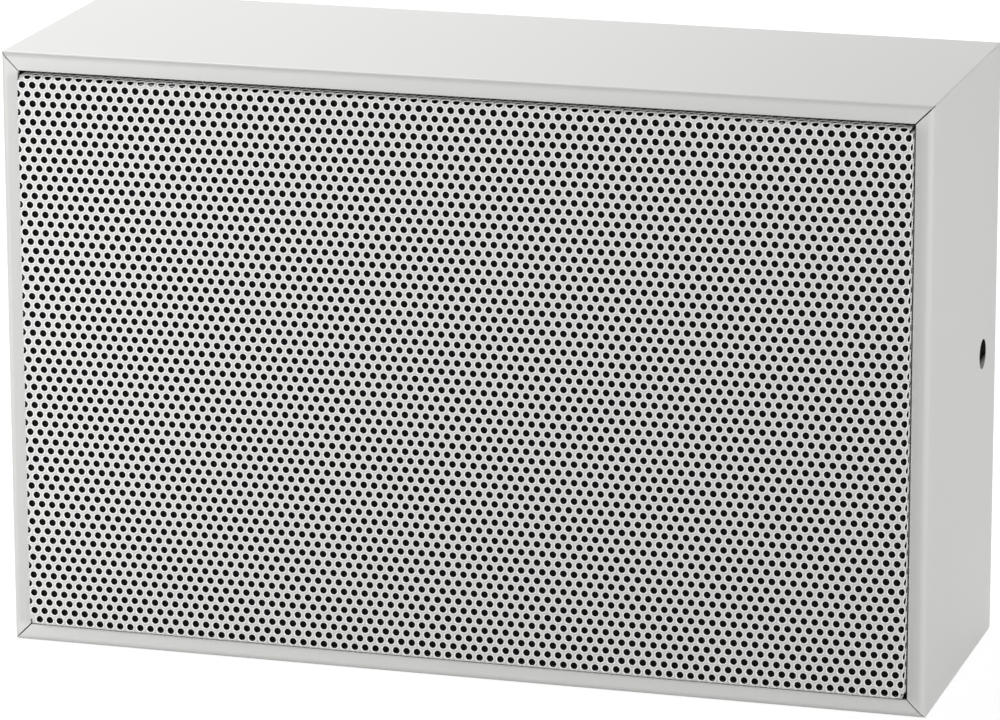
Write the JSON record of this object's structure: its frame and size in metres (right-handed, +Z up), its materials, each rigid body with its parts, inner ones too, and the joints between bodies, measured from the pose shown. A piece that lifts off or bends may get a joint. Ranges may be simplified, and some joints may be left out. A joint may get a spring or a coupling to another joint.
{
  "type": "wall speaker",
  "caption": "Rectangular wall loudspeaker: folded white steel cabinet with a perforated grille, a full-range driver, a line transformer and a rear wall plate.",
  "frame": {"origin": "centre of the wall plate's rear face, in the plane of the wall", "axes": "+Z up, the grille faces -Y, +Y points into the wall, +X is to the right as seen from the front"},
  "size_m": [0.306, 0.1033, 0.1976],
  "materials": {
    "cabinet_paint": "fine satin powder coat, white-grey",
    "grille_paint": "fine satin powder coat, white-grey",
    "plate_paint": "satin powder coat, white-grey",
    "black_cloth": "thin black acoustic cloth",
    "grey_felt": "loose grey fleece",
    "spring_steel": "bright spring steel",
    "zinc_screws": "zinc plated",
    "black_board": "fibreboard stained black",
    "zinc_sheet": "zinc plated sheet",
    "black_screws": "black oxide",
    "basket_paint": "black paint on pressed steel",
    "gasket_board": "black pressed board",
    "coated_cloth": "coated black cloth",
    "grey_paper": "black pressed paper",
    "cream_paper": "stiff cream paper",
    "cap_cloth": "stiffened black cloth",
    "former_film": "amber film",
    "copper_wire": "enamelled copper wire",
    "resin_cloth": "resin-dipped yellow cloth",
    "plated_steel": "zinc plated",
    "ferrite": "dark sintered ferrite",
    "brown_board": "brown laminated board",
    "tinned_brass": "tinned brass",
    "tinsel": "braided tinsel wire",
    "lamination_steel": "varnished laminations",
    "bobbin_plastic": "natural nylon",
    "winding_tape": "yellow polyester tape over copper",
    "block_plastic": "white moulded plastic",
    "red_sleeve": "red insulation",
    "black_sleeve": "black insulation",
    "white_sleeve": "white insulation",
    "yellow_sleeve": "yellow insulation",
    "black_rubber": "soft black rubber",
    "side_screw_steel": "blackened steel"
  },
  "bodies": {
    "cabinet": {"cabinet_shell": "cabinet_paint", "grille": "grille_paint", "wall_plate": "plate_paint", "grille_cloth": "black_cloth", "damping_pad": "grey_felt", "grille_clips": "spring_steel", "clip_screws": "zinc_screws", "baffle_board": "black_board", "baffle_brackets": "zinc_sheet", "baffle_screws": "black_screws", "driver_basket": "basket_paint", "driver_gasket": "gasket_board", "surround": "coated_cloth", "spider": "resin_cloth", "top_plate": "plated_steel", "magnet_ring": "ferrite", "pole_yoke": "plated_steel", "tag_strip": "brown_board", "solder_tags": "tinned_brass", "tinsel_leads": "tinsel", "driver_screws": "black_screws", "transformer_core": "lamination_steel", "transformer_bobbin": "bobbin_plastic", "transformer_winding": "winding_tape", "transformer_strap": "zinc_sheet", "transformer_screws": "zinc_screws", "terminal_block": "block_plastic", "terminal_screws": "zinc_screws", "speaker_lead_red": "red_sleeve", "speaker_lead_black": "black_sleeve", "line_lead_white": "white_sleeve", "line_lead_yellow": "yellow_sleeve", "cable_grommet": "black_rubber", "clinch_nuts": "zinc_screws", "side_screws": "side_screw_steel"},
    "cone_assembly": {"cone": "grey_paper", "whizzer_cone": "cream_paper", "dust_cap": "cap_cloth", "coil_former": "former_film", "coil_winding": "copper_wire"}
  },
  "joints": [
    {"name": "cone_travel", "type": "slide", "parent": "cabinet", "child": "cone_assembly", "axis": [0, -1, 0], "range_m": [-0.0025, 0.0025], "stiffness_N_per_m": 1600, "deforming": ["surround", "spider", "tinsel_leads"]}
  ]
}
